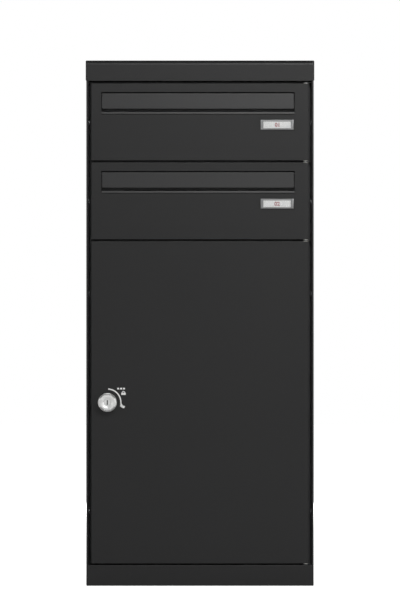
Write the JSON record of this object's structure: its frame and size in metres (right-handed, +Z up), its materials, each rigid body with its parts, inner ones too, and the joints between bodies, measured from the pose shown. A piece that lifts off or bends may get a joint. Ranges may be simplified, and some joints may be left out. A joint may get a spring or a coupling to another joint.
{
  "type": "parcel locker",
  "caption": "Free-standing steel parcel locker: two letter compartments with slot flaps and name plates above one parcel compartment with a knob lock, on a plinth.",
  "frame": {"origin": "middle of the casing's footprint, on the plinth's underside", "axes": "+Z up, -Y out of the front with the doors, +X to the right seen from the front"},
  "size_m": [0.388, 0.2919, 0.892],
  "materials": {
    "casing_paint": "fine-textured powder coat, satin",
    "door_paint": "fine-textured powder coat, satin",
    "inner_paint": "thin powder coat, matt",
    "flap_paint": "fine-textured powder coat, satin",
    "zinc_steel": "zinc-coated, matt",
    "bright_steel": "bright zinc",
    "nickel_plate": "satin nickel plate",
    "plate_metal": "satin",
    "label_paper": "matt white card",
    "clear_window": "clear acrylic",
    "white_print": "printed, matt",
    "black_rubber": "matt",
    "bush_nylon": "smooth natural nylon"
  },
  "bodies": {
    "cabinet": {"side_left": "casing_paint", "side_right": "casing_paint", "back_panel": "casing_paint", "plinth": "casing_paint", "roof_plate": "inner_paint", "roof_cap": "casing_paint", "parcel_box_sides": "inner_paint", "parcel_box_ends": "inner_paint", "parcel_box_faces": "inner_paint", "mail_box_lower": "inner_paint", "mail_box_upper": "inner_paint", "pivot_lugs": "inner_paint", "pivot_pins": "bright_steel", "box_screws": "bright_steel", "box_spacers": "zinc_steel", "casing_rivets": "casing_paint", "cap_screws": "bright_steel", "box_buffers": "black_rubber"},
    "parcel_leaf": {"parcel_door": "door_paint", "parcel_door_bushes": "bush_nylon", "door_stiffener": "inner_paint", "lock_rose": "nickel_plate", "lock_barrel": "zinc_steel", "lock_nut": "zinc_steel", "lock_mark": "white_print"},
    "lock_turner": {"lock_knob": "nickel_plate", "lock_spindle": "zinc_steel", "lock_cam": "zinc_steel", "lock_cam_nut": "bright_steel"},
    "key_plug": {"lock_plug": "nickel_plate"},
    "upper_leaf": {"mail_door_upper": "door_paint", "mail_door_bushes_upper": "bush_nylon", "slot_liner_upper": "inner_paint", "flap_rod_upper": "bright_steel", "flap_brackets_upper": "inner_paint", "flap_buffers_upper": "black_rubber", "name_frame_upper": "plate_metal", "name_label_upper": "label_paper", "name_window_upper": "clear_window", "mail_lock_barrel_upper": "nickel_plate", "mail_lock_nut_upper": "zinc_steel"},
    "upper_flap": {"letter_flap_upper": "flap_paint"},
    "upper_lock": {"mail_lock_plug_upper": "nickel_plate", "mail_lock_cam_upper": "zinc_steel", "mail_lock_cam_nut_upper": "bright_steel"},
    "lower_leaf": {"mail_door_lower": "door_paint", "mail_door_bushes_lower": "bush_nylon", "slot_liner_lower": "inner_paint", "flap_rod_lower": "bright_steel", "flap_brackets_lower": "inner_paint", "flap_buffers_lower": "black_rubber", "name_frame_lower": "plate_metal", "name_label_lower": "label_paper", "name_window_lower": "clear_window", "mail_lock_barrel_lower": "nickel_plate", "mail_lock_nut_lower": "zinc_steel"},
    "lower_flap": {"letter_flap_lower": "flap_paint"},
    "lower_lock": {"mail_lock_plug_lower": "nickel_plate", "mail_lock_cam_lower": "zinc_steel", "mail_lock_cam_nut_lower": "bright_steel"}
  },
  "joints": [
    {"name": "parcel_door_swing", "type": "hinge", "parent": "cabinet", "child": "parcel_leaf", "pos_m": [0.1795, -0.1325, 0.3115], "axis": [0, 0, 1], "range_deg": [0, 110]},
    {"name": "knob_turn", "type": "hinge", "parent": "parcel_leaf", "child": "lock_turner", "pos_m": [-0.157, -0.145, 0.3115], "axis": [0, 1, 0], "range_deg": [0, 90]},
    {"name": "key_plug_turn", "type": "hinge", "parent": "lock_turner", "child": "key_plug", "pos_m": [-0.157, -0.15, 0.3115], "axis": [0, 1, 0], "range_deg": [0, 90]},
    {"name": "upper_door_swing", "type": "hinge", "parent": "cabinet", "child": "upper_leaf", "pos_m": [0.1795, -0.1325, 0.7875], "axis": [0, 0, 1], "range_deg": [0, 110]},
    {"name": "upper_flap_swing", "type": "hinge", "parent": "upper_leaf", "child": "upper_flap", "pos_m": [-0.0035, -0.1335, 0.83325], "axis": [-1, 0, 0], "range_deg": [0, 80]},
    {"name": "upper_lock_turn", "type": "hinge", "parent": "upper_leaf", "child": "upper_lock", "pos_m": [-0.1435, -0.12, 0.819], "axis": [0, 1, 0], "range_deg": [0, 90]},
    {"name": "lower_door_swing", "type": "hinge", "parent": "cabinet", "child": "lower_leaf", "pos_m": [0.1795, -0.1325, 0.6535], "axis": [0, 0, 1], "range_deg": [0, 110]},
    {"name": "lower_flap_swing", "type": "hinge", "parent": "lower_leaf", "child": "lower_flap", "pos_m": [-0.0035, -0.1335, 0.69925], "axis": [-1, 0, 0], "range_deg": [0, 80]},
    {"name": "lower_lock_turn", "type": "hinge", "parent": "lower_leaf", "child": "lower_lock", "pos_m": [-0.1435, -0.12, 0.685], "axis": [0, 1, 0], "range_deg": [0, 90]}
  ]
}
